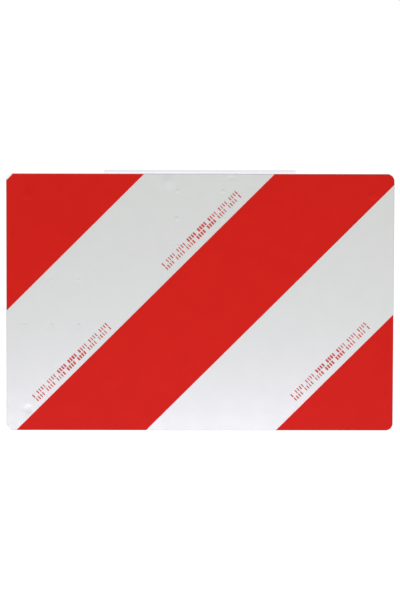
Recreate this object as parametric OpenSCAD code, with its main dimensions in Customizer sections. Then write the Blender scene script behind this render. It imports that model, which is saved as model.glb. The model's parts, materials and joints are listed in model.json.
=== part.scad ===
// Striped marker plate with a rear hook bracket.
// X runs to the right of the striped face, Y to the rear and Z up.
// The origin is the middle of the hook's seat, the flat that rests on a rail or board.

/* [Plate] */
// Width of the plate
plate_w = 423; // [340:1:600]
// Height of the plate
plate_h = 282; // [210:1:450]
// Thickness of the plate
plate_t = 2; // [1.6:0.1:4]
// Radius of the plate's corners
plate_corner_r = 7.5; // [3:0.5:16]

/* [Corner holes] */
// Diameter of the four screw holes near the corners
corner_hole_d = 11; // [6:0.5:14]
// Distance of each corner hole from the two edges beside it
corner_hole_inset = 23.5; // [18:0.5:30]

/* [Fixing holes] */
// Rows of small holes in each group, counted away from the edge
fixing_rows = 3; // [2:1:4]
// Distance from one row of small holes to the next
fixing_pitch = 30; // [20:1:36]
// Distance between the two columns of small holes
fixing_columns = 50; // [36:1:70]
// Distance from the plate's edge to the first row
fixing_edge = 19; // [16:1:26]

/* [Film] */
// Thickness of the white reflective film
film_t = 0.35; // [0.2:0.05:1]
// Thickness of the red film laid over it
red_film_t = 0.15; // [0.1:0.05:0.5]
// Bare margin between the film and the plate's edge
film_margin = 0.3; // [0.1:0.1:1.5]
// Length cut off each edge of the film at its trimmed corner
film_trim = 7.6; // [4:0.1:16]

/* [Stripes] */
// Width of the middle red stripe, across the stripe
stripe_w = 100.5; // [60:0.5:115]
// Distance from the plate's upper-left corner to the first change of colour
first_stripe = 106.3; // [60:0.1:130]
// Distance from the plate's lower-right corner to the last change of colour
last_stripe = 90.7; // [60:0.1:130]

/* [Hook bracket] */
// Width of the hook
hook_w = 210; // [130:1:300]
// Thickness of the hook's sheet
hook_t = 2.5; // [1.5:0.1:4]
// Height of the hook's top above the plate's top edge
hook_rise = 0.8; // [0:0.1:4]
// Inner radius of the hook's bends
bend_r = 3; // [2:0.5:6]
// Clear space between the front leg and the lip
rail_gap = 42; // [24:1:60]
// Height of the lip's straight part, below the seat
lip_h = 38; // [32:1:60]
// Length of the lip's flared end
flare_l = 12; // [6:1:20]
// Angle at which the flared end stands away from the lip
flare_angle = 25; // [10:1:40]
// Radius of the lip's lower corners
lip_corner_r = 9; // [3:0.5:10]
// Depth of the front leg's full-width band, below the seat
band_h = 16; // [14:1:24]
// Radius of the band's lower corners
band_corner_r = 6; // [3:0.5:8]
// Radius of the blend between the band and the tongue
shoulder_r = 26; // [10:1:28]
// Sheet left beside each column of rivets
tongue_side = 17; // [8:1:20]
// Sheet left below the last row of rivets
tongue_end = 15; // [8:1:24]
// Radius of the tongue's lower corners
tongue_corner_r = 12; // [4:0.5:14]
// Diameter of the two screw holes in the lip
lip_hole_d = 9; // [5:0.5:12]
// Distance between the two screw holes in the lip
lip_hole_spacing = 150; // [60:1:190]
// Distance of the lip's screw holes below the seat
lip_hole_drop = 21; // [16:1:24]

/* [Rivets] */
// Diameter of a rivet's shank
rivet_d = 3; // [2.4:0.1:4]
// Diameter of a rivet's sunk head
rivet_head_d = 5.2; // [4.8:0.1:6]
// Cone angle of a rivet's sunk head
rivet_head_angle = 75; // [75:1:120]
// Diameter of a rivet's rear head
rivet_rear_d = 5.4; // [4.8:0.1:8]
// Height of a rivet's rear head
rivet_rear_h = 1.2; // [0.8:0.1:2]
// Gap between a rivet and the wall of its hole
rivet_clearance = 0.05; // [0.03:0.01:0.15]

/* [Hidden] */

$fn = 96;

// Reach of a cutter past the face that it cuts
over = 1;

// Heights and depths of the plate, measured from the hook's seat
plate_top = hook_t - hook_rise;
plate_mid = plate_top - plate_h / 2;
leg_rear = -rail_gap / 2;
plate_rear = leg_rear - hook_t;
plate_front = plate_rear - plate_t;
white_front = plate_front - film_t;
red_front = white_front - red_film_t;

// The last row of fixing holes, and the tongue's lower end
last_row = fixing_edge + (fixing_rows - 1) * fixing_pitch;
tongue_bottom = plate_top - last_row - tongue_end;
tongue_w = fixing_columns + 2 * tongue_side;

// The last change of colour, and the middle of the central stripe, which lies halfway between
// the first change and the last. Both are measured from the plate's upper-left corner.
last_change = (plate_w + plate_h) / sqrt(2) - last_stripe;
stripe_centre = (first_stripe + last_change) / 2;

// Centre of the flare's bend in section, and the number of flats in its arc
flare_centre = [rail_gap / 2 + hook_t + bend_r, -lip_h];
flare_steps = 6;

// The lip's lower end in the front view: straight part, bend and flare
lip_bottom = -lip_h - (bend_r + hook_t) * sin(flare_angle) - flare_l * cos(flare_angle);

// Depth of the rivet's sunk head, from its cone
rivet_sunk_h = (rivet_head_d - rivet_d) / 2 / tan(rivet_head_angle / 2);
rivet_grip = plate_t + hook_t;

// Colours as the photograph shows them
red_colour = [0.81, 0.13, 0.11];
white_colour = [0.88, 0.88, 0.88];
metal_colour = [0.8, 0.8, 0.82];
hook_colour = [0.86, 0.86, 0.88];
rivet_colour = [0.72, 0.72, 0.74];

// Hole centres in the plate's plane, measured from the plate's middle
corner_holes = [
    for (sx = [-1, 1], sz = [-1, 1])
        [sx * (plate_w / 2 - corner_hole_inset), sz * (plate_h / 2 - corner_hole_inset)]
];
top_holes = [
    for (row = [0 : fixing_rows - 1], side = [-1, 1])
        [side * fixing_columns / 2, plate_h / 2 - fixing_edge - row * fixing_pitch]
];
left_holes = [
    for (row = [0 : fixing_rows - 1], side = [-1, 1])
        [-plate_w / 2 + fixing_edge + row * fixing_pitch, side * fixing_columns / 2]
];

// Stands a drawing up in the plate's plane, with its front face at y = front
module sheet_layer(front, thickness) {
    translate([0, front + thickness, plate_mid])
        rotate([90, 0, 0])
            linear_extrude(thickness)
                children();
}

// Turns a shape that points along Z to point to the rear, from the plate's front face
module point_rear() {
    translate([0, plate_front, plate_mid])
        rotate([-90, 0, 0])
            children();
}

// Places a copy at each hole centre, for shapes that point to the rear
module at_holes(centres) {
    for (c = centres)
        translate([c[0], 0, c[1]])
            point_rear()
                children();
}

// What lies between a square corner at the origin and an arc of radius r.
// Taken away it rounds an outer corner, and added it fills an inner one.
module corner_web(r) {
    difference() {
        translate([-over, -over])
            square(r + over);
        translate([r, r])
            circle(r);
    }
}

// A rectangle about the origin, with its four corners rounded
module rounded_rect(w, h, r) {
    difference() {
        square([w, h], center = true);
        for (mx = [0, 1], my = [0, 1])
            mirror([mx, 0])
                mirror([0, my])
                    translate([-w / 2, -h / 2])
                        corner_web(r);
    }
}

// The film's outline: the plate's outline less the margin, with one corner trimmed at 45 degrees
module film_outline() {
    reach = film_trim / sqrt(2);
    difference() {
        rounded_rect(
            plate_w - 2 * film_margin,
            plate_h - 2 * film_margin,
            plate_corner_r - film_margin
        );
        across_stripes(-plate_corner_r, reach);
    }
}

// The part of the plate's plane between two distances from its upper-left corner, across the stripes
module across_stripes(from, to) {
    length = plate_w + plate_h;
    translate([-plate_w / 2, plate_h / 2])
        rotate(-45)
            translate([from, -length / 2])
                square([to - from, length]);
}

// A red film, cut from the film's outline between two changes of colour
module red_stripe(from, to) {
    color(red_colour)
        sheet_layer(red_front, red_film_t)
            intersection() {
                film_outline();
                across_stripes(from, to);
            }
}

// A hole with a sunk cone at its front, for a flush rivet
module sunk_hole() {
    slope = tan(rivet_head_angle / 2);
    wide = rivet_head_d + 2 * rivet_clearance;
    narrow = rivet_d + 2 * rivet_clearance;
    translate([0, 0, -over])
        cylinder(h = rivet_grip + 2 * over, d = narrow);
    translate([0, 0, -over])
        cylinder(h = rivet_sunk_h + over, d1 = wide + 2 * over * slope, d2 = narrow);
}

// A round hole through the plate and whatever lies behind it
module through_hole(d) {
    translate([0, 0, -over])
        cylinder(h = rivet_grip + 2 * over, d = d);
}

// A square bend in section, about its own centre: a quarter of a ring
module square_bend() {
    outer = bend_r + hook_t;
    intersection() {
        difference() {
            circle(outer);
            circle(bend_r);
        }
        translate([-outer, 0])
            square(outer);
    }
}

// Points of an arc about the centre of the flare's bend, one every few degrees
function flare_arc(radius) = [
    for (i = [0 : flare_steps])
        let (angle = 180 + flare_angle * i / flare_steps)
            flare_centre + radius * [cos(angle), sin(angle)]
];

// The flared end in section: the lip's last bend, then its straight end
module flare_section() {
    front_arc = flare_arc(bend_r + hook_t);
    rear_arc = flare_arc(bend_r);
    straight = flare_l * [sin(flare_angle), -cos(flare_angle)];
    polygon(concat(
        front_arc,
        [front_arc[flare_steps] + straight, rear_arc[flare_steps] + straight],
        [for (i = [flare_steps : -1 : 0]) rear_arc[i]]
    ));
}

// The folded sheet in section, seen from its left end: front leg, top flange, lip and flare
module folded_section() {
    translate([plate_rear, tongue_bottom])
        square([hook_t, -bend_r - tongue_bottom]);
    translate([leg_rear + bend_r, 0])
        square([rail_gap - 2 * bend_r, hook_t]);
    translate([rail_gap / 2, -lip_h])
        square([hook_t, lip_h - bend_r]);
    for (side = [0, 1])
        mirror([side, 0])
            translate([leg_rear + bend_r, -bend_r])
                square_bend();
    flare_section();
}

// The hook before its blank is trimmed
module folded_hook() {
    translate([-hook_w / 2, 0, 0])
        rotate([90, 0, 90])
            linear_extrude(hook_w)
                folded_section();
}

// Outline of the front leg: a full-width band with a tongue below it for the rivets
module leg_outline() {
    band_bottom = -band_h;
    difference() {
        union() {
            translate([-hook_w / 2, band_bottom])
                square([hook_w, band_h + hook_t + over]);
            translate([-tongue_w / 2, tongue_bottom])
                square([tongue_w, -tongue_bottom]);
            for (mx = [0, 1])
                mirror([mx, 0])
                    translate([tongue_w / 2, band_bottom])
                        mirror([0, 1])
                            corner_web(shoulder_r);
        }
        for (mx = [0, 1])
            mirror([mx, 0]) {
                translate([-hook_w / 2, band_bottom])
                    corner_web(band_corner_r);
                translate([-tongue_w / 2, tongue_bottom])
                    corner_web(tongue_corner_r);
            }
    }
}

// Outline of the lip, with its lower corners rounded
module lip_outline() {
    difference() {
        translate([-hook_w / 2, lip_bottom - over])
            square([hook_w, hook_t + over - lip_bottom + over]);
        for (mx = [0, 1])
            mirror([mx, 0])
                translate([-hook_w / 2, lip_bottom])
                    corner_web(lip_corner_r);
    }
}

// Extrudes a front-view outline, measured from the seat, between two depths
module front_prism(from, to) {
    translate([0, to, 0])
        rotate([90, 0, 0])
            linear_extrude(to - from)
                children();
}

module backing_plate() {
    color(metal_colour)
        difference() {
            sheet_layer(plate_front, plate_t)
                rounded_rect(plate_w, plate_h, plate_corner_r);
            at_holes(corner_holes)
                through_hole(corner_hole_d);
            at_holes(top_holes)
                sunk_hole();
            at_holes(left_holes)
                sunk_hole();
        }
}

module white_film() {
    color(white_colour)
        sheet_layer(white_front, film_t)
            film_outline();
}

module red_film_upper_left() {
    red_stripe(0, first_stripe);
}

module red_film_middle() {
    red_stripe(stripe_centre - stripe_w / 2, stripe_centre + stripe_w / 2);
}

module red_film_lower_right() {
    red_stripe(last_change, plate_w + plate_h);
}

module hook_bracket() {
    lip_reach = rail_gap / 2 + hook_t + bend_r + flare_l;
    color(hook_colour)
        difference() {
            intersection() {
                folded_hook();
                union() {
                    front_prism(plate_rear - over, 0)
                        leg_outline();
                    front_prism(0, lip_reach)
                        lip_outline();
                }
            }
            at_holes(top_holes)
                through_hole(rivet_d + 2 * rivet_clearance);
            for (side = [-1, 1])
                translate([side * lip_hole_spacing / 2, rail_gap / 2 - over, -lip_hole_drop])
                    rotate([-90, 0, 0])
                        cylinder(h = hook_t + 2 * over, d = lip_hole_d);
        }
}

// One set rivet: sunk head, shank, and a low domed head at the rear
module rivet() {
    rear_r = rivet_rear_d / 2;
    dome_r = (rear_r * rear_r + rivet_rear_h * rivet_rear_h) / (2 * rivet_rear_h);
    cylinder(h = rivet_sunk_h, d1 = rivet_head_d, d2 = rivet_d);
    cylinder(h = rivet_grip + rivet_rear_h / 2, d = rivet_d);
    translate([0, 0, rivet_grip])
        intersection() {
            translate([0, 0, rivet_rear_h - dome_r])
                sphere(dome_r);
            cylinder(h = rivet_rear_h + over, d = rivet_rear_d + 2 * over);
        }
}

module flush_rivets() {
    color(rivet_colour)
        at_holes(top_holes)
            rivet();
}

backing_plate();
white_film();
red_film_upper_left();
red_film_middle();
red_film_lower_right();
hook_bracket();
flush_rivets();
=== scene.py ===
"""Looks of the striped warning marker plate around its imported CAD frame.

The frame gives every size that pieces share. Lengths are in metres, X runs to the right
of the striped face, Y to the rear and Z up. The sheet metal and the rivets are the frame's
own solids with finishes of their own. The four reflective films are rebuilt here as thin
shells that dip over the covered holes, and rows of small printed bars lie on the white film.
"""

import json
import logging
import math
from dataclasses import dataclass, field
from enum import Enum
from typing import Optional, Sequence, Union

import bmesh
import bpy
from mathutils import Matrix, Vector, noise
from mathutils.geometry import delaunay_2d_cdt


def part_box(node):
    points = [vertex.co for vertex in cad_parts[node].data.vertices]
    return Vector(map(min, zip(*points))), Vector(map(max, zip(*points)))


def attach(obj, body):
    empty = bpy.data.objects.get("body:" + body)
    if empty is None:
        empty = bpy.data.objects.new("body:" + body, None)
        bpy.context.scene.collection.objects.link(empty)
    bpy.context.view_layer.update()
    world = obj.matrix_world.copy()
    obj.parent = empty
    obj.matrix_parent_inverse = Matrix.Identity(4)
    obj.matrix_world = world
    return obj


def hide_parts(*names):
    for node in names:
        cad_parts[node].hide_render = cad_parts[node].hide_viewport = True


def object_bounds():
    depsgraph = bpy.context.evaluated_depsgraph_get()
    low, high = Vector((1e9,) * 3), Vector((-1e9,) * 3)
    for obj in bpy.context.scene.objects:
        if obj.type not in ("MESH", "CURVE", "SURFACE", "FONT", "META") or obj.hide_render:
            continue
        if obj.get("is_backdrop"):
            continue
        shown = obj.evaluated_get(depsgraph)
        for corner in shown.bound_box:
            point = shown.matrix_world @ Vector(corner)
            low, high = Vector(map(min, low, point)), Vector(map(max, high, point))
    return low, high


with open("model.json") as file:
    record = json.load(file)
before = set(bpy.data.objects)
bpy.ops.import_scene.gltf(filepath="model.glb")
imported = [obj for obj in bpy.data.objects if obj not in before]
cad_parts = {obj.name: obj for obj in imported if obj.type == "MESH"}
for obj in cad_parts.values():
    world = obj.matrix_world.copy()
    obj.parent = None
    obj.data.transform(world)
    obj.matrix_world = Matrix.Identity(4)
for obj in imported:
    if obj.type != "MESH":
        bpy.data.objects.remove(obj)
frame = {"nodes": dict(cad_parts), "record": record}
CAD_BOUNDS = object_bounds()

LOG = logging.getLogger("marker_plate")
BODY = "root"
MM = 0.001

Colour = tuple[float, float, float]
Number = Union[int, float]
Owner = Union[bpy.types.Material, bpy.types.World]

WHITE: Colour = (1.0, 1.0, 1.0)


class Slot(Enum):
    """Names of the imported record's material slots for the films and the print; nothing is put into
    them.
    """

    WHITE = "white_film"
    RED = "red_film"


class Value:
    """A socket of a shader's tree that takes part in Python expressions."""

    def __init__(self, graph: "Graph", socket: bpy.types.NodeSocket) -> None:
        """Keeps the socket and the graph that it belongs to."""
        self.graph = graph
        self.socket = socket

    def _math(self, operation: str, *operands: "Operand") -> "Value":
        """Adds one Math node.

        Args:
            operation: The node's operation.
            operands: Numbers or values, in the order of the node's sockets.

        Returns:
            The node's result.
        """
        inputs = dict(enumerate(operands))
        return self.graph.node("ShaderNodeMath", {"operation": operation}, inputs)

    def __add__(self, other: "Operand") -> "Value":
        """Sum."""
        return self._math("ADD", self, other)

    __radd__ = __add__

    def __sub__(self, other: "Operand") -> "Value":
        """Difference."""
        return self._math("SUBTRACT", self, other)

    def __rsub__(self, other: "Operand") -> "Value":
        """Difference, with this value taken away."""
        return self._math("SUBTRACT", other, self)

    def __mul__(self, other: "Operand") -> "Value":
        """Product."""
        return self._math("MULTIPLY", self, other)

    __rmul__ = __mul__

    def __truediv__(self, other: "Operand") -> "Value":
        """Quotient."""
        return self._math("DIVIDE", self, other)

    def __rtruediv__(self, other: "Operand") -> "Value":
        """Quotient, with this value as the divisor."""
        return self._math("DIVIDE", other, self)

    def __pow__(self, other: "Operand") -> "Value":
        """Power."""
        return self._math("POWER", self, other)

    def __abs__(self) -> "Value":
        """Size of the value."""
        return self._math("ABSOLUTE", self)

    def __round__(self) -> "Value":
        """Nearest whole number."""
        return self._math("ROUND", self)

    def least(self, other: "Operand") -> "Value":
        """The smaller of two."""
        return self._math("MINIMUM", self, other)

    def most(self, other: "Operand") -> "Value":
        """The larger of two."""
        return self._math("MAXIMUM", self, other)

    def step(self, low: float, high: float) -> "Value":
        """A smooth step from 0 at low to 1 at high, or down where low is the larger.

        Args:
            low: Where the step starts.
            high: Where the step ends.

        Returns:
            The stepped value.
        """
        settings = {"interpolation_type": "SMOOTHSTEP", "clamp": True}
        if low < high:
            return self.graph.node("ShaderNodeMapRange", settings, {0: self, 1: low, 2: high})
        return 1.0 - self.graph.node("ShaderNodeMapRange", settings, {0: self, 1: high, 2: low})


Operand = Union[Value, Number]


class Graph:
    """The node tree of one material or of the world."""

    def __init__(self, owner: Owner) -> None:
        """Empties the owner's tree.

        Args:
            owner: The material or the world that the tree belongs to.
        """
        self.owner = owner
        owner.use_nodes = True
        self.tree = owner.node_tree
        self.tree.nodes.clear()

    def node(
        self,
        kind: str,
        settings: Optional[dict] = None,
        inputs: Optional[dict] = None,
        output: Union[int, str, None] = 0,
    ) -> Optional[Value]:
        """Adds a node.

        Args:
            kind: The node's type.
            settings: Its properties, such as an operation. They are set first.
            inputs: Numbers, tuples or values for its sockets, by index or name.
            output: The output socket, by index or name, or None where it has none.

        Returns:
            The output socket as a value, or None.
        """
        node = self.tree.nodes.new(kind)
        for key, setting in (settings or {}).items():
            setattr(node, key, setting)
        for key, operand in (inputs or {}).items():
            if isinstance(operand, Value):
                self.tree.links.new(operand.socket, node.inputs[key])
            else:
                node.inputs[key].default_value = operand
        return None if output is None else Value(self, node.outputs[output])

    def place(self) -> Value:
        """The point on the piece, in the frame's own coordinates."""
        return self.node("ShaderNodeTexCoord", output="Object")

    def axis(self, name: str) -> Value:
        """The point's place along an axis, X, Y or Z."""
        return self.node("ShaderNodeSeparateXYZ", None, {0: self.place()}, name)

    def noise(self, per_metre: float, detail: float, stretch: float, turn: float) -> Value:
        """Soft noise from 0 to 1.

        Args:
            per_metre: Scale of the noise.
            detail: Number of finer octaves.
            stretch: Factor along X. A small one draws the noise out into streaks.
            turn: Angle of the streaks about Y, in radians.

        Returns:
            The noise.
        """
        turned = {"Rotation": (0.0, turn, 0.0), "Scale": (stretch, 1.0, 1.0)}
        at = self.node("ShaderNodeMapping", None, {"Vector": self.place(), **turned})
        inputs = {"Vector": at, "Scale": per_metre, "Detail": detail}
        return self.node("ShaderNodeTexNoise", None, inputs, "Fac")

    def cells(self, per_metre: float) -> Value:
        """Distance in a field of small cells."""
        inputs = {"Vector": self.place(), "Scale": per_metre}
        return self.node("ShaderNodeTexVoronoi", None, inputs, "Distance")

    def near(self, x: float, z: float, width: float, height: float) -> Value:
        """Distance from a spot on the face, where 1 is the edge of an oval.

        Args:
            x: Centre of the oval along X.
            z: Centre of the oval along Z.
            width: Half of its width.
            height: Half of its height.

        Returns:
            The distance, as a share of the oval's half-axes.
        """
        inputs = {
            "Vector": self.place(),
            "Location": (-x / width, 0.0, -z / height),
            "Scale": (1.0 / width, 0.0, 1.0 / height),
        }
        local = self.node("ShaderNodeMapping", None, inputs)
        return self.node("ShaderNodeVectorMath", {"operation": "LENGTH"}, {0: local}, "Value")

    def mix(self, factor: Operand, first: "Paint", second: "Paint") -> Value:
        """Mixes two colours.

        Args:
            factor: Share of the second colour.
            first: Colour where the factor is 0.
            second: Colour where the factor is 1.

        Returns:
            The mixed colour.
        """
        inputs = {
            "Factor": factor,
            6: first if isinstance(first, Value) else (*first, 1.0),
            7: second if isinstance(second, Value) else (*second, 1.0),
        }
        return self.node("ShaderNodeMix", {"data_type": "RGBA"}, inputs, 2)

    def bump(
        self, height: Value, strength: float, depth: float, over: Optional[Value] = None
    ) -> Value:
        """A bumped normal from a height.

        Args:
            height: The height.
            strength: Strength of the bump.
            depth: Distance in metres that a height of 1 stands for.
            over: Normal that the bump is laid on. Without it, the surface's own.

        Returns:
            The normal.
        """
        inputs = {"Strength": strength, "Distance": depth, "Height": height}
        if over is not None:
            inputs["Normal"] = over
        return self.node("ShaderNodeBump", None, inputs, "Normal")

    def shown(self) -> Value:
        """Tells what is seen from what lights.

        Returns:
            1 for rays of the camera and those that metal or glass sends on, and 0 for others.
        """
        kinds = ("Is Camera Ray", "Is Glossy Ray", "Is Transmission Ray")
        seen, mirrored, passed = (self.node("ShaderNodeLightPath", output=kind) for kind in kinds)
        return seen.most(mirrored).most(passed)

    def finish(self, shader: dict) -> bpy.types.Material:
        """Closes a material's tree with a Principled shader.

        Args:
            shader: Numbers, tuples or values for the shader's sockets, by name.

        Returns:
            The finished material.
        """
        return self.close(self.node("ShaderNodeBsdfPrincipled", None, shader, "BSDF"))

    def close(self, surface: Value, kind: str = "ShaderNodeOutputMaterial") -> Owner:
        """Links a shader to the output.

        Args:
            surface: The shader.
            kind: The output node's type.

        Returns:
            The material or the world, finished.
        """
        self.node(kind, None, {"Surface": surface}, None)
        return self.owner


Paint = Union[Value, Colour]


@dataclass(frozen=True)
class Layer:
    """A layer of noise, which may be drawn out into streaks and cut by a smooth step."""

    per_metre: float
    detail: float
    limits: Optional[tuple[float, float]] = None
    stretch: float = 1.0
    turn: float = 0.0

    def value(self, graph: Graph) -> Value:
        """The layer's noise, stepped where it has limits."""
        noise_value = graph.noise(self.per_metre, self.detail, self.stretch, self.turn)
        return noise_value.step(*self.limits) if self.limits else noise_value


@dataclass(frozen=True)
class MarkGrid:
    """Equal round marks at even steps over the face, or one alone.

    The first mark is the one of least X and least Z. A mark of negative depth stands out.
    """

    x: float
    z: float
    radius: float
    depth: float
    columns: int = 1
    rows: int = 1
    step_x: float = 1.0
    step_z: float = 1.0

    def distance(self, graph: Graph) -> Value:
        """Distance from the nearest mark.

        Args:
            graph: Tree of the material that shows the marks.

        Returns:
            The distance, where 1 is the mark's rim.
        """
        across = self._nearest(graph.axis("X") - self.x, self.step_x, self.columns)
        upward = self._nearest(graph.axis("Z") - self.z, self.step_z, self.rows)
        return (across * across + upward * upward) ** 0.5 / self.radius

    @staticmethod
    def _nearest(place: Value, step: float, count: int) -> Value:
        """Distance from the nearest of a number of even steps.

        Args:
            place: Place along an axis, from the first mark.
            step: Length of a step.
            count: Number of marks.

        Returns:
            The distance along that axis, with its sign.
        """
        return place - round(place / step).most(0.0).least(count - 1.0) * step


@dataclass(frozen=True)
class FilmFinish:
    """What all reflective films share: fine beads and faint clouds under a clear face."""

    name: str
    clouds: Layer
    bead_share: float
    bead_strength: float
    bead_height: float
    roughness: float
    grain_roughness: float
    specular: float
    beads_per_metre: float = 2600.0
    bead_limits: tuple[float, float] = (0.1, 0.9)

    def grain(self, graph: Graph, beads: Value) -> Value:
        """Beads and clouds together, from 0 to 1."""
        shown_beads = beads.step(*self.bead_limits) * self.bead_share
        return shown_beads + self.clouds.value(graph) * (1.0 - self.bead_share)

    def shader(
        self, graph: Graph, beads: Value, grain: Value, colour: Value, over: Optional[Value] = None
    ) -> dict:
        """Sets the sockets that all films use.

        Args:
            graph: Tree of the film's material.
            beads: The field of beads.
            grain: Beads and clouds together.
            colour: The film's colour.
            over: Normal that the beads stand on. Without it, the surface's own.

        Returns:
            Values for the shader's sockets, by name.
        """
        return {
            "Base Color": colour,
            "Roughness": self.roughness + grain * self.grain_roughness,
            "Specular IOR Level": self.specular,
            "Normal": graph.bump(beads, self.bead_strength, self.bead_height, over),
        }


@dataclass(frozen=True)
class WhiteFilmFinish(FilmFinish):
    """Silvery white sheeting, dull where it is strained over a mark, with one dark speck."""

    name: str = "white_film_beaded"
    clouds: Layer = Layer(42.0, 3.0, (0.3, 0.7))
    bead_share: float = 0.6
    bead_strength: float = 0.25
    bead_height: float = 0.03 * MM
    roughness: float = 0.30
    grain_roughness: float = 0.08
    specular: float = 0.3
    sheen: float = 0.30
    coat: float = 0.12
    coat_roughness: float = 0.22
    pale: Colour = (0.656, 0.675, 0.643)
    shade: Colour = (0.617, 0.635, 0.605)
    strained: Colour = (0.677, 0.697, 0.666)
    strain_limits: tuple[float, float] = (1.45, 0.75)
    speck: Colour = (0.42, 0.42, 0.41)
    speck_cover: float = 0.8
    speck_limits: tuple[float, float] = (1.0, 0.4)
    speck_x: float = 68.0 * MM
    speck_drop: float = 220.4 * MM
    speck_width: float = 0.9 * MM
    speck_height: float = 0.54 * MM

    def material(self, top: float, marks: Sequence[MarkGrid]) -> bpy.types.Material:
        """Builds the material.

        Args:
            top: Height of the film's upper edge, from which the speck is measured.
            marks: Small hollows and dents, where the strained film loses its silver sheen.

        Returns:
            The material.
        """
        graph = Graph(bpy.data.materials.new(self.name))
        beads = graph.cells(self.beads_per_metre)
        grain = self.grain(graph, beads)
        spots = [mark.distance(graph) for mark in marks]
        strain = sum((spot.step(*self.strain_limits) for spot in spots), 0.0).least(1.0)
        heights = (spot.step(1.0, 0.0) * -mark.depth for mark, spot in zip(marks, spots))
        dented = graph.bump(sum(heights, 0.0), 1.0, 1.0)
        colour = graph.mix(grain, self.pale, self.shade)
        colour = graph.mix(strain, colour, self.strained)
        speck_z = top - self.speck_drop
        speck = graph.near(self.speck_x, speck_z, self.speck_width, self.speck_height)
        cover = speck.step(*self.speck_limits) * self.speck_cover
        colour = graph.mix(cover, colour, self.speck)
        silver = {
            "Metallic": (1.0 - strain) * self.sheen,
            "Coat Weight": self.coat,
            "Coat Roughness": self.coat_roughness,
        }
        return graph.finish(self.shader(graph, beads, grain, colour, dented) | silver)


@dataclass(frozen=True)
class RedFilmFinish(FilmFinish):
    """Translucent red film over the beaded sheeting."""

    name: str = "red_film_translucent"
    clouds: Layer = Layer(60.0, 3.0, (0.3, 0.7))
    bead_share: float = 0.5
    bead_strength: float = 0.15
    bead_height: float = 0.02 * MM
    roughness: float = 0.38
    grain_roughness: float = 0.06
    specular: float = 0.05
    deep: Colour = (0.608, 0.0134, 0.0088)
    light: Colour = (0.648, 0.0157, 0.0104)

    def material(self) -> bpy.types.Material:
        """Builds the material.

        Returns:
            The material.
        """
        graph = Graph(bpy.data.materials.new(self.name))
        beads = graph.cells(self.beads_per_metre)
        grain = self.grain(graph, beads)
        colour = graph.mix(grain, self.light, self.deep)
        return graph.finish(self.shader(graph, beads, grain, colour))


@dataclass(frozen=True)
class InkFinish:
    """Red screen ink, laid on a little unevenly."""

    name: str = "red_ink"
    full: Colour = (0.52, 0.055, 0.042)
    thin: Colour = (0.58, 0.11, 0.085)
    patches: Layer = Layer(1500.0, 2.0, (0.35, 0.7))
    roughness: float = 0.5
    patch_gloss: float = 0.1
    specular: float = 0.15

    def material(self) -> bpy.types.Material:
        """Builds the material.

        Returns:
            The material.
        """
        graph = Graph(bpy.data.materials.new(self.name))
        patches = self.patches.value(graph)
        return graph.finish(
            {
                "Base Color": graph.mix(patches, self.full, self.thin),
                "Roughness": self.roughness - patches * self.patch_gloss,
                "Specular IOR Level": self.specular,
            }
        )


@dataclass(frozen=True)
class SheetMetalFinish:
    """Rolled aluminium sheet: long grain, cloudy oxide, dull spots and fine scratches."""

    name: str
    bright: Colour
    dull: Colour
    roughness: float
    scratching: float = 0.5
    grain: Layer = Layer(1800.0, 2.0, stretch=0.03)
    clouds: Layer = Layer(30.0, 4.0, (0.3, 0.75), stretch=0.3)
    spots: Layer = Layer(190.0, 2.0, (0.62, 0.78))
    scratches: Layer = Layer(420.0, 1.0, (0.70, 0.76), stretch=0.035, turn=0.35)
    grain_tone: float = 0.55
    cloud_tone: float = 0.3
    spot_tone: float = 0.1
    scratch_tone: float = 0.35
    grain_roughness: float = 0.12
    cloud_roughness: float = 0.08
    scratch_gloss: float = 0.1
    grain_share: float = 0.7
    grain_strength: float = 0.3
    grain_height: float = 0.02 * MM

    def colour(self, graph: Graph, base: Value) -> Value:
        """The sheet's colour, which a kind of sheet may change."""
        return base

    def material(self) -> bpy.types.Material:
        """Builds the material.

        Returns:
            The material.
        """
        graph = Graph(bpy.data.materials.new(self.name))
        grain = self.grain.value(graph)
        clouds = self.clouds.value(graph)
        spots = self.spots.value(graph)
        scratch = self.scratches.value(graph) * self.scratching
        dull = clouds * self.cloud_tone + grain * self.grain_tone + spots * self.spot_tone
        colour = graph.mix(dull, self.bright, self.dull)
        colour = graph.mix(scratch * self.scratch_tone, colour, self.bright)
        rough = self.roughness + grain * self.grain_roughness + clouds * self.cloud_roughness
        height = grain * self.grain_share + scratch * (1.0 - self.grain_share)
        return graph.finish(
            {
                "Base Color": self.colour(graph, colour),
                "Metallic": 1.0,
                "Roughness": rough - scratch * self.scratch_gloss,
                "Normal": graph.bump(height, self.grain_strength, self.grain_height),
            }
        )


@dataclass(frozen=True)
class PlateFinish(SheetMetalFinish):
    """Mill sheet with painted shade along its rim."""

    # Painted shade: a dark band along the plate's edge.
    rim: Colour = (0.24, 0.24, 0.22)
    rim_shade_width: float = 0.7 * MM

    def colour(self, graph: Graph, base: Value) -> Value:
        """Paints shade along the plate's rim, darkening the sheet there.

        Args:
            graph: Tree of the plate's material.
            base: Colour of the sheet.

        Returns:
            The colour with the painted rim shade.
        """
        low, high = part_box("backing_plate")
        centre, half = (low + high) / 2, (high - low) / 2
        across = half.x - abs(graph.axis("X") - centre.x)
        upward = half.z - abs(graph.axis("Z") - centre.z)
        inward = across.least(upward)
        # Painted shade along the rim, darkest at the very edge.
        return graph.mix(inward.step(self.rim_shade_width, self.rim_shade_width * 0.4), base, self.rim)


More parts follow.
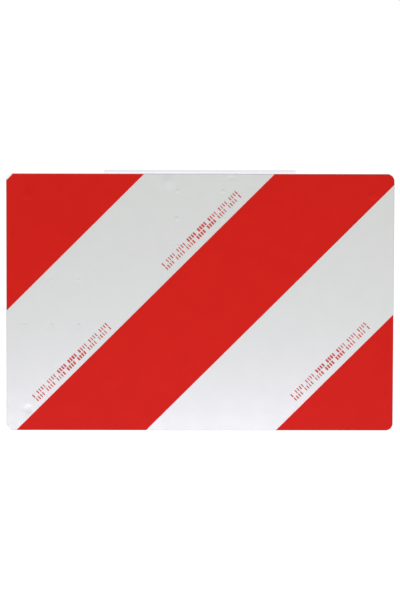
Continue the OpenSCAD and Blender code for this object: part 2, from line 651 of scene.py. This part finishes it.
@dataclass(frozen=True)
class Dimple:
    """A round mark in a film, over a hole, a sunk head or a dent. A negative depth stands out."""

    x: float
    z: float
    radius: float
    depth: float
    rings: int = 6
    sectors: int = 24

    def depth_at(self, x: float, z: float) -> float:
        """How far the film dips at a point of the face."""
        share = math.hypot(x - self.x, z - self.z) / self.radius
        return self.depth * (1.0 - share * share) ** 1.2 if share < 1.0 else 0.0

    def points(self) -> list[Vector]:
        """Points that give the mark its own mesh.

        Returns:
            Its centre and its rings.
        """
        found = [Vector((self.x, self.z))]
        for ring in range(1, self.rings + 1):
            radius = self.radius * ring / self.rings
            offset = 0.5 * (ring % 2)
            for sector in range(self.sectors):
                angle = math.tau * (sector + offset) / self.sectors
                found.append(
                    Vector((self.x + radius * math.cos(angle), self.z + radius * math.sin(angle)))
                )
        return found


@dataclass
class Relief:
    """Shape of the films' faces: marks over holes, sunk heads and dents, and slight waves."""

    over_holes: list[Dimple] = field(default_factory=list)
    over_sheet: list[Dimple] = field(default_factory=list)
    marks: list[MarkGrid] = field(default_factory=list)
    wave_depth: float = 0.03 * MM
    wave_per_metre: float = 16.0

    def dimples(self) -> list[Dimple]:
        """Every mark that has a shape."""
        return self.over_holes + self.over_sheet

    def rear(self, x: float, z: float, on_film: bool) -> float:
        """How far a film's rear face dips at a point.

        Args:
            x: The point's place along X.
            z: The point's place along Z.
            on_film: Whether the film lies on another film, not on the plate.

        Returns:
            The depth. On the plate it is only that of the open holes.
        """
        dimples = self.dimples() if on_film else self.over_holes
        return sum(dimple.depth_at(x, z) for dimple in dimples)

    def front(self, x: float, z: float) -> float:
        """How far a film's front face dips at a point.

        Args:
            x: The point's place along X.
            z: The point's place along Z.

        Returns:
            The depth, with the waves.
        """
        place = Vector((x, 0.0, z)) * self.wave_per_metre
        wave = self.wave_depth * (0.5 + 0.5 * noise.noise(place))
        return self.rear(x, z, True) + max(0.0, wave)


def read_relief() -> Relief:
    """Finds the covered holes and rivets from the frame, and adds two dents of the sheet.

    Returns:
        The relief that all films share.
    """
    corner_depths_mm = {(-1, 1): 0.9, (1, 1): 0.9, (-1, -1): 0.29, (1, -1): 0.15}
    small = {"radius": 2.5 * MM, "depth": 0.25 * MM}
    mark_radius = 2.7 * MM
    head_sag = 0.4 * MM
    mounts = {mount["name"]: mount for mount in frame["record"]["mounts"]}
    relief = Relief()
    corner = mounts["corner_holes"]
    dims = corner["dims"]
    for (side_x, side_z), depth in corner_depths_mm.items():
        relief.over_holes.append(
            Dimple(
                x=corner["pos_m"][0] + side_x * dims["spacing_x_mm"] / 2 * MM,
                z=corner["pos_m"][2] + side_z * dims["spacing_y_mm"] / 2 * MM,
                radius=dims["hole_r_mm"] * MM,
                depth=depth * MM,
                rings=8,
                sectors=36,
            )
        )
    side = mounts["side_group_outer"]
    pitch = side["dims"]["spacing_x_mm"] / 2 * MM
    column = side["dims"]["spacing_y_mm"] / 2 * MM
    rivets_low, rivets_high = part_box("flush_rivets")
    rivet_rim = (rivets_high.x - rivets_low.x) / 2 - column
    top_row = rivets_high.z - rivet_rim
    for row in range(3):
        for hand in (-1, 1):
            relief.over_holes.append(
                Dimple(side["pos_m"][0] + (row - 1) * pitch, side["pos_m"][2] + hand * column, **small)
            )
            relief.over_sheet.append(Dimple(hand * column, top_row - row * pitch, **small))
    heads = MarkGrid(
        x=-column,
        z=top_row - 2 * pitch + head_sag,
        radius=mark_radius,
        depth=0.4 * MM,
        columns=2,
        rows=3,
        step_x=2 * column,
        step_z=pitch,
    )
    holes = MarkGrid(
        x=side["pos_m"][0] - pitch,
        z=side["pos_m"][2] - column,
        radius=mark_radius,
        depth=0.2 * MM,
        columns=3,
        rows=2,
        step_x=pitch,
        step_z=2 * column,
    )
    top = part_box("white_film")[1].z
    dent = MarkGrid(x=-34.6 * MM, z=top - 8.3 * MM, radius=10.0 * MM, depth=0.9 * MM)
    bulge = MarkGrid(x=33.2 * MM, z=top - 4.0 * MM, radius=4.8 * MM, depth=-0.45 * MM)
    relief.over_sheet += [
        Dimple(dent.x, dent.z, dent.radius, 0.2 * MM, rings=10, sectors=36),
        Dimple(bulge.x, bulge.z, bulge.radius, -0.1 * MM),
    ]
    relief.marks += [heads, holes, dent, bulge]
    return relief


class FilmOutline:
    """Outline of a film's front face, read from its CAD node."""

    SAME_PLACE = 1e-6
    FACING_FRONT = -0.9

    def __init__(self, node: str) -> None:
        """Reads the node's front face.

        Args:
            node: Name of the CAD node.
        """
        low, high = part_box(node)
        self.front = low.y
        self.rear = high.y
        self.loop = self._walk(self._edges(frame["nodes"][node]))

    def _edges(self, solid: bpy.types.Object) -> dict[tuple, list[tuple]]:
        """Reads the front face's boundary.

        Args:
            solid: The CAD node.

        Returns:
            The two neighbours of each corner along the boundary.
        """
        work = bmesh.new()
        work.from_mesh(solid.data)
        bmesh.ops.remove_doubles(work, verts=work.verts, dist=self.SAME_PLACE)
        work.normal_update()
        neighbours: dict[tuple, list[tuple]] = {}
        for edge in work.edges:
            facing = [face for face in edge.link_faces if face.normal.y < self.FACING_FRONT]
            if len(facing) != 1:
                continue
            ends = [(vert.co.x, vert.co.z) for vert in edge.verts]
            for here, there in (ends, ends[::-1]):
                neighbours.setdefault(here, []).append(there)
        work.free()
        return neighbours

    @staticmethod
    def _walk(neighbours: dict[tuple, list[tuple]]) -> list[Vector]:
        """Orders the boundary's corners round the face.

        Args:
            neighbours: The two neighbours of each corner.

        Returns:
            The corners in order.
        """
        start = min(neighbours)
        loop = [start]
        before, here = None, start
        while True:
            ahead = [point for point in neighbours[here] if point != before]
            before, here = here, ahead[0]
            if here == start:
                return [Vector(point) for point in loop]
            loop.append(here)

    def clearance(self, point: Vector) -> float:
        """Distance from a point to the outline.

        Args:
            point: The point.

        Returns:
            The distance, negative outside the outline.
        """
        inside = False
        nearest = math.inf
        for first, second in zip(self.loop, self.loop[1:] + self.loop[:1]):
            along = second - first
            share = max(0.0, min(1.0, (point - first).dot(along) / along.length_squared))
            nearest = min(nearest, (point - first - along * share).length)
            if (first.y > point.y) != (second.y > point.y):
                if point.x < first.x + (point.y - first.y) * along.x / along.y:
                    inside = not inside
        return nearest if inside else -nearest


@dataclass
class FilmSheet:
    """One reflective film, rebuilt as a thin closed shell that follows the relief."""

    node: str
    slot: Slot
    relief: Relief
    on_film: bool = False
    spacing: float = 6.0 * MM
    edge_spacing: float = 3.0 * MM
    grid_margin: float = 1.2 * MM
    ring_margin: float = 0.2 * MM
    grid_gap: float = 1.15
    smooth_angle: float = math.radians(40.0)

    def build(self, material: bpy.types.Material) -> bpy.types.Object:
        """Builds the film.

        Args:
            material: Its finish.

        Returns:
            The film, riding on the body in place of its CAD node.
        """
        outline = FilmOutline(self.node)
        points, faces = self._face(outline)
        mesh = self._shell(outline, points, faces)
        mesh.materials.append(material)
        film = bpy.data.objects.new(self.node + "_sheet", mesh)
        bpy.context.scene.collection.objects.link(film)
        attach(film, BODY)
        self.slot.value
        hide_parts(self.node)
        return film

    def _face(self, outline: FilmOutline) -> tuple[list[Vector], list[list[int]]]:
        """Fills the outline with triangles that are fine round each mark.

        Args:
            outline: The film's outline.

        Returns:
            Points of the face and its triangles.
        """
        rim = self._divided(outline.loop)
        dimples = self.relief.dimples()
        inner = [
            point
            for dimple in dimples
            for point in dimple.points()
            if outline.clearance(point) > self.ring_margin
        ]
        low = Vector((min(p.x for p in rim), min(p.y for p in rim)))
        high = Vector((max(p.x for p in rim), max(p.y for p in rim)))
        for column in range(1, int((high.x - low.x) / self.spacing) + 1):
            for row in range(1, int((high.y - low.y) / self.spacing) + 1):
                point = low + Vector((column, row)) * self.spacing
                gaps = ((point - Vector((d.x, d.z))).length / d.radius for d in dimples)
                if min(gaps) >= self.grid_gap and outline.clearance(point) > self.grid_margin:
                    inner.append(point)
        scale = 1.0 / MM
        flat = [point * scale for point in rim + inner]
        ring = [(i, (i + 1) % len(rim)) for i in range(len(rim))]
        verts, _, faces, *_ = delaunay_2d_cdt(flat, ring, [], 1, 1e-4)
        return [Vector(vert) / scale for vert in verts], [list(face) for face in faces]

    def _divided(self, loop: list[Vector]) -> list[Vector]:
        """Splits the outline's long sides evenly.

        Args:
            loop: The outline's corners.

        Returns:
            The corners, with points between them.
        """
        rim = []
        for first, second in zip(loop, loop[1:] + loop[:1]):
            parts = max(1, round((second - first).length / self.edge_spacing))
            rim += [first.lerp(second, part / parts) for part in range(parts)]
        return rim

    def _shell(
        self, outline: FilmOutline, points: list[Vector], faces: list[list[int]]
    ) -> bpy.types.Mesh:
        """Closes the face into a shell with a front, a rear and walls.

        Args:
            outline: The film's outline, which gives its depths.
            points: Points of the face.
            faces: Its triangles.

        Returns:
            The shell's mesh.
        """
        work = bmesh.new()
        front = [
            work.verts.new((p.x, outline.front + self.relief.front(p.x, p.y), p.y)) for p in points
        ]
        rear = [
            work.verts.new((p.x, outline.rear + self.relief.rear(p.x, p.y, self.on_film), p.y))
            for p in points
        ]
        for face in faces:
            work.faces.new([front[i] for i in face])
            work.faces.new([rear[i] for i in reversed(face)])
        work.verts.index_update()
        count = len(points)
        for edge in [edge for edge in work.edges if len(edge.link_faces) == 1]:
            first, second = (vert.index for vert in edge.verts)
            if first < count and second < count:
                work.faces.new([front[first], front[second], rear[second], rear[first]])
        bmesh.ops.recalc_face_normals(work, faces=work.faces)
        mesh = bpy.data.meshes.new(self.node + "_sheet")
        work.to_mesh(mesh)
        work.free()
        mesh.shade_smooth()
        mesh.set_sharp_from_angle(angle=self.smooth_angle)
        return mesh


class BarField:
    """Geometry Nodes tree that sets small rounded bars in a row, in groups."""

    INPUTS = (
        ("Bars", "NodeSocketInt", 33),
        ("Pitch", "NodeSocketFloat", 3.3 * MM),
        ("Bar Width", "NodeSocketFloat", 1.2 * MM),
        ("Bar Height", "NodeSocketFloat", 4.4 * MM),
        ("Ink Thickness", "NodeSocketFloat", 0.1 * MM),
        ("Group", "NodeSocketInt", 5),
        ("Bold Share", "NodeSocketFloat", 0.14),
        ("Seed", "NodeSocketInt", 3),
    )
    CORNER_SHARE = 0.28
    CORNER_STEPS = 2
    WIDTH_SCATTER = (0.8, 1.2)
    BOLD_EXTRA = 0.7

    def __init__(self, material: bpy.types.Material) -> None:
        """Builds the tree.

        Args:
            material: Finish that the bars take.
        """
        self.tree = bpy.data.node_groups.new("bar_row", "GeometryNodeTree")
        interface = self.tree.interface
        interface.new_socket("Geometry", in_out="INPUT", socket_type="NodeSocketGeometry")
        for name, kind, default in self.INPUTS:
            socket = interface.new_socket(name, in_out="INPUT", socket_type=kind)
            socket.default_value = default
        interface.new_socket("Geometry", in_out="OUTPUT", socket_type="NodeSocketGeometry")
        self.source = self.tree.nodes.new("NodeGroupInput")
        self.material = material
        self._build()

    def _add(
        self, kind: str, settings: Optional[dict] = None, inputs: Optional[dict] = None
    ) -> bpy.types.Node:
        """Adds a node.

        Args:
            kind: The node's type.
            settings: Its properties. They are set first.
            inputs: Values or links for its sockets, by index or name.

        Returns:
            The node.
        """
        node = self.tree.nodes.new(kind)
        for key, setting in (settings or {}).items():
            setattr(node, key, setting)
        for key, operand in (inputs or {}).items():
            if isinstance(operand, bpy.types.NodeSocket):
                self.tree.links.new(operand, node.inputs[key])
            else:
                node.inputs[key].default_value = operand
        return node

    def _maths(
        self, operation: str, *operands: Union[Number, bpy.types.NodeSocket]
    ) -> bpy.types.NodeSocket:
        """Result of a Math node."""
        inputs = dict(enumerate(operands))
        return self._add("ShaderNodeMath", {"operation": operation}, inputs).outputs[0]

    def _bar(self) -> bpy.types.NodeSocket:
        """Builds one rounded bar.

        Returns:
            The bar, as a closed thin solid.
        """
        given = self.source.outputs
        quad = self._add(
            "GeometryNodeCurvePrimitiveQuadrilateral",
            None,
            {"Width": given["Bar Width"], "Height": given["Bar Height"]},
        )
        rounded = {
            "Curve": quad.outputs[0],
            "Radius": self._maths("MULTIPLY", given["Bar Width"], self.CORNER_SHARE),
            "Count": self.CORNER_STEPS,
            "Limit Radius": True,
        }
        fillet = self._add("GeometryNodeFilletCurve", {"mode": "POLY"}, rounded)
        fill = self._add("GeometryNodeFillCurve", {"mode": "NGONS"}, {"Curve": fillet.outputs[0]})
        extrude = self._add(
            "GeometryNodeExtrudeMesh",
            {"mode": "FACES"},
            {"Mesh": fill.outputs[0], "Offset Scale": given["Ink Thickness"], "Individual": False},
        )
        flip = self._add("GeometryNodeFlipFaces", None, {"Mesh": fill.outputs[0]})
        join = self._add("GeometryNodeJoinGeometry")
        self.tree.links.new(extrude.outputs["Mesh"], join.inputs[0])
        self.tree.links.new(flip.outputs[0], join.inputs[0])
        merge = self._add(
            "GeometryNodeMergeByDistance", None, {"Geometry": join.outputs[0], "Distance": 1e-6}
        )
        return merge.outputs[0]

    def _build(self) -> None:
        """Builds the row: a line of points, gaps between groups, bolder bars in the middle."""
        given = self.source.outputs
        offset = self._add("ShaderNodeCombineXYZ", None, {"X": given["Pitch"]})
        line = self._add(
            "GeometryNodeMeshLine",
            {"mode": "OFFSET"},
            {"Count": given["Bars"], "Offset": offset.outputs[0]},
        )
        index = self._add("GeometryNodeInputIndex").outputs[0]
        in_group = self._maths("MODULO", index, given["Group"])
        last = self._maths("SUBTRACT", given["Group"], 1.0)
        gap = self._maths("COMPARE", in_group, last, 0.1)
        kept = self._add(
            "GeometryNodeStoreNamedAttribute",
            {"data_type": "FLOAT", "domain": "POINT"},
            {"Geometry": line.outputs[0], "Name": "bold", "Value": self._boldness(index)},
        )
        cut = self._add(
            "GeometryNodeDeleteGeometry",
            {"domain": "POINT"},
            {"Geometry": kept.outputs[0], "Selection": gap},
        )
        bold = self._add("GeometryNodeInputNamedAttribute", {"data_type": "FLOAT"}, {"Name": "bold"})
        scale = self._add("ShaderNodeCombineXYZ", None, {"X": bold.outputs[0], "Y": 1.0, "Z": 1.0})
        bars = self._add(
            "GeometryNodeInstanceOnPoints",
            None,
            {"Points": cut.outputs[0], "Instance": self._bar(), "Scale": scale.outputs[0]},
        )
        real = self._add("GeometryNodeRealizeInstances", None, {"Geometry": bars.outputs[0]})
        dress = self._add(
            "GeometryNodeSetMaterial", None, {"Geometry": real.outputs[0], "Material": self.material}
        )
        output = self.tree.nodes.new("NodeGroupOutput")
        self.tree.links.new(dress.outputs[0], output.inputs[0])

    def _boldness(self, index: bpy.types.NodeSocket) -> bpy.types.NodeSocket:
        """Makes the bars wider in the row's middle, with a little scatter.

        Args:
            index: Each bar's number in the row.

        Returns:
            Width factor of each bar.
        """
        given = self.source.outputs
        middle = self._maths("DIVIDE", given["Bars"], 2.0)
        away = self._maths("ABSOLUTE", self._maths("SUBTRACT", index, middle))
        reach = self._maths("MULTIPLY", given["Bars"], given["Bold Share"])
        bold = self._maths("LESS_THAN", away, reach)
        least, most = self.WIDTH_SCATTER
        limits = {2: least, 3: most, "Seed": given["Seed"]}
        scatter = self._add("FunctionNodeRandomValue", {"data_type": "FLOAT"}, limits)
        extra = self._maths("MULTIPLY", bold, self.BOLD_EXTRA)
        return self._maths("ADD", scatter.outputs[1], extra)

    def mesh(self, name: str, values: dict[str, Number]) -> bpy.types.Mesh:
        """Evaluates the tree once.

        Args:
            name: Name of the new mesh.
            values: Inputs by name.

        Returns:
            A plain mesh of the row, along X, with bars standing along Y.
        """
        holder = bpy.data.objects.new(name, bpy.data.meshes.new(name + "_seed"))
        bpy.context.scene.collection.objects.link(holder)
        modifier = holder.modifiers.new("row", "NODES")
        modifier.node_group = self.tree
        for item in self.tree.interface.items_tree:
            if item.in_out == "INPUT" and item.name in values:
                modifier[item.identifier] = values[item.name]
        evaluated = holder.evaluated_get(bpy.context.evaluated_depsgraph_get())
        plain = bpy.data.meshes.new_from_object(evaluated)
        bpy.data.objects.remove(holder)
        return plain


@dataclass
class PrintedRows:
    """Two rows of small printed bars on the white film, beside a red stripe's edge."""

    name: str
    middle: Vector
    bars: BarField
    length: float = 118.0 * MM
    row_gap: float = 5.4 * MM
    pitch: float = 3.2 * MM
    front: float = 0.0
    standing: float = 0.04 * MM
    sunk: float = 0.1 * MM
    slope: float = math.radians(45.0)
    seed: int = 5

    def build(self) -> bpy.types.Object:
        """Builds both rows as one piece.

        Returns:
            The printed rows, riding on the body.
        """
        count = int(self.length / self.pitch)
        work = bmesh.new()
        values = {"Bars": count, "Pitch": self.pitch, "Ink Thickness": self.standing + self.sunk}
        for number, (row, turn) in enumerate(((-0.5, 0.0), (0.5, math.pi))):
            mesh = self.bars.mesh(self.name, values | {"Seed": self.seed + number})
            mesh.transform(self._place(row, turn, count))
            work.from_mesh(mesh)
            bpy.data.meshes.remove(mesh)
        bmesh.ops.recalc_face_normals(work, faces=work.faces)
        result = bpy.data.meshes.new(self.name)
        work.to_mesh(result)
        work.free()
        result.materials.append(self.bars.material)
        piece = bpy.data.objects.new(self.name, result)
        bpy.context.scene.collection.objects.link(piece)
        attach(piece, BODY)
        Slot.RED.value
        return piece

    def _place(self, row: float, turn: float, count: int) -> Matrix:
        """Where a row lies: centred, stood up in the plate's plane and turned to the slope.

        Args:
            row: Row's place across the slope, in row gaps.
            turn: Angle of the row in its own plane.
            count: Number of bar places in it.

        Returns:
            The transform from the row's own plane to the frame.
        """
        centred = Matrix.Translation((-(count - 1) * self.pitch / 2, 0.0, 0.0))
        in_plane = Matrix.Rotation(turn, 4, "Z")
        offset = Matrix.Translation((0.0, row * self.row_gap, 0.0))
        sloped = Matrix.Rotation(self.slope, 4, "Z")
        upright = Matrix.Rotation(math.radians(90.0), 4, "X")
        depth = self.front + self.sunk
        there = Matrix.Translation((self.middle.x, depth, self.middle.y))
        return there @ upright @ sloped @ offset @ in_plane @ centred


@dataclass
class MarkerPlate:
    """The whole object: sheet metal, films and printed rows."""

    white: WhiteFilmFinish = WhiteFilmFinish()
    red: RedFilmFinish = RedFilmFinish()
    ink: InkFinish = InkFinish()
    plate: SheetMetalFinish = PlateFinish(
        "plate_mill_sheet", (0.78, 0.78, 0.79), (0.62, 0.62, 0.64), 0.34
    )
    hook: SheetMetalFinish = SheetMetalFinish(
        "hook_bright_sheet", (0.60, 0.59, 0.63), (0.54, 0.53, 0.56), 0.30
    )
    rivets: SheetMetalFinish = SheetMetalFinish(
        "rivet_set_head", (0.70, 0.70, 0.72), (0.55, 0.55, 0.57), 0.4, scratching=0.2
    )

    RED_NODES = ("red_film_upper_left", "red_film_middle", "red_film_lower_right")

    def build(self) -> list[bpy.types.Object]:
        """Builds every piece.

        Returns:
            The pieces, with the dressed CAD nodes.
        """
        pieces = self._dress_metal()
        pieces += self._films()
        pieces += self._printed_rows()
        return pieces

    def _dress_metal(self) -> list[bpy.types.Object]:
        """Gives the sheet metal and the rivets their finishes.

        Returns:
            The dressed CAD nodes.
        """
        dressed = []
        for node, finish in (
            ("backing_plate", self.plate),
            ("hook_bracket", self.hook),
            ("flush_rivets", self.rivets),
        ):
            solid = frame["nodes"][node]
            solid.data.materials.clear()
            solid.data.materials.append(finish.material())
            dressed.append(solid)
        return dressed

    def _films(self) -> list[bpy.types.Object]:
        """Builds the white film and the three red ones.

        Returns:
            The films.
        """
        relief = read_relief()
        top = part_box("white_film")[1].z
        white = FilmSheet("white_film", Slot.WHITE, relief)
        films = [white.build(self.white.material(top, relief.marks))]
        red = self.red.material()
        for node in self.RED_NODES:
            films.append(FilmSheet(node, Slot.RED, relief, on_film=True).build(red))
        return films

    def _printed_rows(self) -> list[bpy.types.Object]:
        """Builds the rows of printed bars on the two white stripes.

        Returns:
            The pairs of rows.
        """
        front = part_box("white_film")[0].y
        bars = BarField(self.ink.material())
        plate_low, plate_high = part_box("backing_plate")
        centre = Vector(((plate_low.x + plate_high.x) / 2, (plate_low.z + plate_high.z) / 2))
        places_mm = {
            "printed_rows_upper": Vector((1.2, 79.0)),
            "printed_rows_lower_left": Vector((-140.2, -65.8)),
            "printed_rows_lower_right": Vector((142.4, -64.9)),
        }
        return [
            PrintedRows(name, centre + place * MM, bars, front=front).build()
            for name, place in places_mm.items()
        ]


@dataclass(frozen=True)
class Lamp:
    """An area lamp of the studio."""

    name: str
    place: tuple[float, float, float]
    size: tuple[float, float]
    watts: float
    tint: Colour = WHITE

    def build(self, target: Vector) -> None:
        """Adds the lamp.

        Args:
            target: Point that it shines at.
        """
        light = bpy.data.lights.new(self.name, "AREA")
        light.shape = "RECTANGLE"
        light.size, light.size_y = self.size
        light.energy = self.watts
        light.color = self.tint
        lamp = bpy.data.objects.new(self.name, light)
        lamp.location = self.place
        aim = target - Vector(self.place)
        lamp.rotation_euler = aim.to_track_quat("-Z", "Y").to_euler()
        lamp.visible_camera = False
        bpy.context.scene.collection.objects.link(lamp)


@dataclass
class Studio:
    """Pale floor, white surroundings, soft lamps and the photograph's camera."""

    ambient: float = 0.52
    floor_height: float = -0.62
    floor_radius: float = 12.0
    floor_pale: Colour = (0.9, 0.9, 0.9)
    floor_bounce: Colour = (0.35, 0.35, 0.35)
    floor_glow: float = 1.1
    glow_share: float = 0.62
    glow_fade: tuple[float, float] = (0.3, 1.3)
    lamps: tuple[Lamp, ...] = (
        Lamp("key", (-1.1, -2.7, 3.6), (2.6, 2.0), 112.0, (1.0, 1.0, 0.99)),
        Lamp("fill", (1.6, -2.4, 0.5), (1.4, 1.4), 8.0),
        Lamp("bounce", (0.0, -0.55, -0.42), (0.8, 0.12), 1.3, (0.84, 0.76, 0.98)),
        Lamp("rear", (0.5, 1.7, 2.3), (3.4, 2.4), 26.0),
    )
    aim_aside: float = -0.12 * MM
    aim_above_centre: float = 2.78 * MM
    azimuth: float = math.radians(-0.7)
    elevation: float = math.radians(6.59)
    distance: float = 4.73
    roll: float = math.radians(0.166)
    focal_length: float = 259.87
    target: Vector = field(init=False)

    def __post_init__(self) -> None:
        """Finds the point that the camera and the lamps aim at."""
        low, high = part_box("backing_plate")
        height = (low.z + high.z) / 2 + self.aim_above_centre
        self.target = Vector((self.aim_aside, CAD_BOUNDS[0][1], height))

    def build(self) -> None:
        """Builds the surroundings, the floor, the lamps and the camera."""
        self._world()
        self._floor()
        for lamp in self.lamps:
            lamp.build(self.target)
        self._camera()
        bpy.context.scene.view_settings.view_transform = "Standard"

    def _world(self) -> None:
        """White where it is seen or mirrored, and a plain ambient light elsewhere."""
        graph = Graph(bpy.data.worlds.new("white_studio"))
        strength = self.ambient + graph.shown() * (1.0 - self.ambient)
        inputs = {"Color": (*WHITE, 1.0), "Strength": strength}
        light = graph.node("ShaderNodeBackground", None, inputs, "Background")
        bpy.context.scene.world = graph.close(light, "ShaderNodeOutputWorld")

    def _floor(self) -> None:
        """A wide pale floor that keeps the object's shadow."""
        graph = Graph(bpy.data.materials.new("pale_floor"))
        inputs = {"Vector": graph.place(), "Scale": (1.0, 1.0, 0.0)}
        flat = graph.node("ShaderNodeMapping", None, inputs)
        away = graph.node("ShaderNodeVectorMath", {"operation": "LENGTH"}, {0: flat}, "Value")
        share = self.glow_share + away.step(*self.glow_fade) * (1.0 - self.glow_share)
        bounced = graph.node("ShaderNodeLightPath", output="Is Diffuse Ray")
        tone = graph.mix(bounced, self.floor_pale, self.floor_bounce)
        pale = graph.node("ShaderNodeBsdfDiffuse", None, {"Color": tone}, "BSDF")
        glow = graph.node("ShaderNodeEmission", None, {"Strength": self.floor_glow}, "Emission")
        inputs = {0: graph.shown() * share, 1: pale, 2: glow}
        material = graph.close(graph.node("ShaderNodeMixShader", None, inputs, "Shader"))
        work = bmesh.new()
        bmesh.ops.create_circle(work, cap_ends=True, segments=96, radius=self.floor_radius)
        mesh = bpy.data.meshes.new("floor")
        work.to_mesh(mesh)
        work.free()
        mesh.transform(Matrix.Translation((0.0, 0.0, self.floor_height)))
        mesh.materials.append(material)
        floor = bpy.data.objects.new("floor", mesh)
        bpy.context.scene.collection.objects.link(floor)
        floor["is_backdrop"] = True

    def _camera(self) -> None:
        """The long lens that looks slightly down at the plate."""
        back = Vector(
            (
                math.sin(self.azimuth) * math.cos(self.elevation),
                -math.cos(self.azimuth) * math.cos(self.elevation),
                math.sin(self.elevation),
            )
        )
        data = bpy.data.cameras.new("camera")
        data.lens = self.focal_length
        data.clip_start, data.clip_end = 0.1, 60.0
        camera = bpy.data.objects.new("camera", data)
        camera.location = self.target + back * self.distance
        aim = (-back).to_track_quat("-Z", "Y").to_matrix().to_4x4()
        camera.rotation_euler = (aim @ Matrix.Rotation(self.roll, 4, "Z")).to_euler()
        bpy.context.scene.collection.objects.link(camera)
        bpy.context.scene.camera = camera


def write_sizes() -> None:
    """Gathers the CAD box and the visual model's box, and keeps neither."""
    sizes = {
        "cad": [list(corner) for corner in CAD_BOUNDS],
        "visual": [list(corner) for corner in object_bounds()],
    }


def main() -> None:
    """Builds the object and the studio and reports each piece."""
    logging.basicConfig(level=logging.INFO, format="%(name)s: %(message)s")
    for piece in MarkerPlate().build():
        LOG.info("%s: %d faces", piece.name, len(piece.data.polygons))
    Studio().build()
    write_sizes()


if __name__ == "__main__":
    main()
